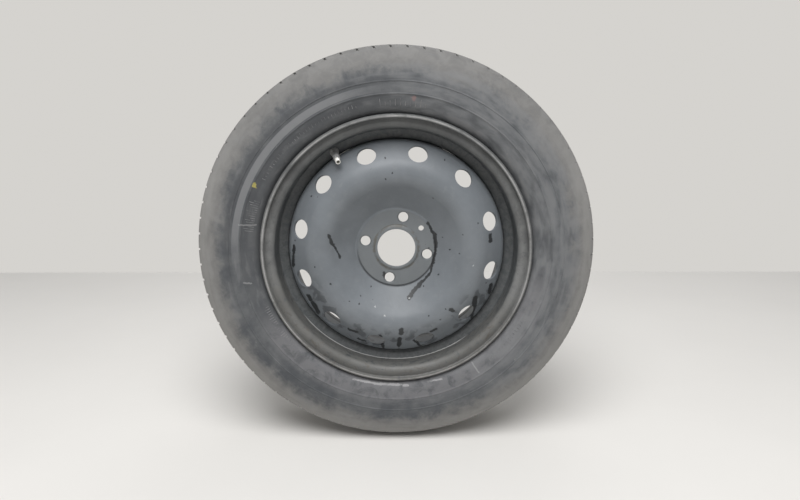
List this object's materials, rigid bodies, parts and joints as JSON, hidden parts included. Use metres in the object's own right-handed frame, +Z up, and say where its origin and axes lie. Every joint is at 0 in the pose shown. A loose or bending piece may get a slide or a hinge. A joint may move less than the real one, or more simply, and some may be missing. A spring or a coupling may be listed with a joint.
{
  "type": "steel wheel with tyre",
  "caption": "Pressed steel car wheel with round vents, a deep hub pad and a rubber snap-in valve, carrying a worn road tyre.",
  "frame": {"origin": "on the wheel's axis, midway between the rim's two flanges", "axes": "+Y along the wheel's axis towards the vehicle, +Z up, outboard face towards -Y"},
  "size_m": [0.6211, 0.188, 0.6212],
  "materials": {
    "tyre": "worn dusty rubber",
    "rim_paint": "black dip paint, dusty and scuffed",
    "disc_paint": "greyed black paint with chips and runs",
    "valve_rubber": "matt rubber",
    "valve_brass": "dull plated brass",
    "core_gasket": "matt",
    "core_steel": "drawn wire"
  },
  "bodies": {
    "wheel": {"tyre": "tyre", "rim": "rim_paint", "disc": "disc_paint", "disc_welds": "rim_paint", "valve_body": "valve_rubber", "valve_stem": "valve_brass", "core_plug": "valve_brass", "core_barrel": "valve_brass", "core_gasket": "core_gasket", "core_spring": "core_steel"},
    "valve_pin": {"core_pin": "core_steel", "core_cup": "valve_brass", "core_seal": "valve_rubber"}
  },
  "joints": [
    {"name": "pin_press", "type": "slide", "parent": "wheel", "child": "valve_pin", "axis": [-0.247, 0.8874, 0.3892], "range_m": [0, 0.0015], "stiffness_N_per_m": 1200, "deforming": ["core_spring"]}
  ]
}
